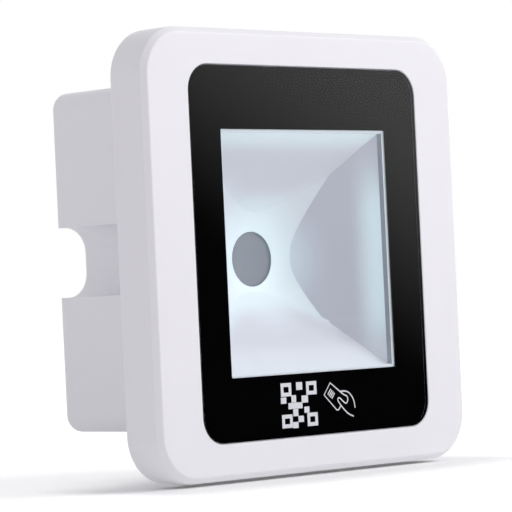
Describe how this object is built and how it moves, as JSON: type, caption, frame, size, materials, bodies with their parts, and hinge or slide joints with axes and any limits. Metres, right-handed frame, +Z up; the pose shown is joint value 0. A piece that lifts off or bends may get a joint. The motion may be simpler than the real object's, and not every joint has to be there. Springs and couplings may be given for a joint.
{
  "type": "fixed barcode reader",
  "caption": "Flush wall reader for bar codes and cards: square white bezel, black window panel over a pale reflector horn with a grey lens window, and a notched rear box.",
  "frame": {"origin": "centre of the wall plane, midway between the two wall screws on the base plate's rear face", "axes": "+Z up, +X to the right as seen from the front, +Y into the wall, so the front faces -Y"},
  "size_m": [0.086, 0.04, 0.086],
  "materials": {
    "bezel_abs": "fine satin moulded ABS, white",
    "housing_abs": "fine satin moulded ABS, white",
    "clear_acrylic": "polished clear acrylic",
    "black_film": "black printed film",
    "foam_tape": "closed-cell foam",
    "opal_plastic": "satin opal polycarbonate, lit from behind",
    "grey_filter": "grey optical plastic",
    "green_board": "solder-masked glass fibre board",
    "white_board": "white solder-masked board",
    "blue_board": "solder-masked glass fibre board",
    "copper": "etched copper track",
    "amber_film": "polyimide flat lead",
    "ivory_plastic": "moulded nylon",
    "lamp_phosphor": "lamp body with phosphor",
    "screw_steel": "zinc-plated steel",
    "black_plastic": "black moulded plastic",
    "lens_glass": "polished optical glass",
    "sensor_face": "dark sensor under glass",
    "brass": "turned brass",
    "ferrite": "pressed ferrite",
    "can_aluminium": "drawn aluminium can"
  },
  "bodies": {
    "root": {"front_bezel": "bezel_abs", "front_window": "clear_acrylic", "window_mask": "black_film", "window_tape": "foam_tape", "reflector": "opal_plastic", "lens_window": "grey_filter", "lens_gasket": "foam_tape", "antenna_board": "green_board", "antenna_coil": "copper", "antenna_ribbon": "amber_film", "ribbon_connector": "ivory_plastic", "light_board": "white_board", "light_leds": "lamp_phosphor", "light_screws": "screw_steel", "light_header": "black_plastic", "lens_barrel": "black_plastic", "lens_glass": "lens_glass", "lens_holder": "black_plastic", "image_sensor": "sensor_face", "camera_board": "blue_board", "camera_spacers": "brass", "camera_screws": "screw_steel", "camera_nuts": "screw_steel", "board_link": "ivory_plastic", "main_board": "green_board", "processor": "black_plastic", "memory_chip": "black_plastic", "inductor": "ferrite", "capacitors": "can_aluminium", "buzzer": "black_plastic", "wire_socket": "ivory_plastic", "socket_pins": "brass", "board_screws": "screw_steel", "reflector_screws": "screw_steel", "rear_housing": "housing_abs"}
  },
  "joints": []
}
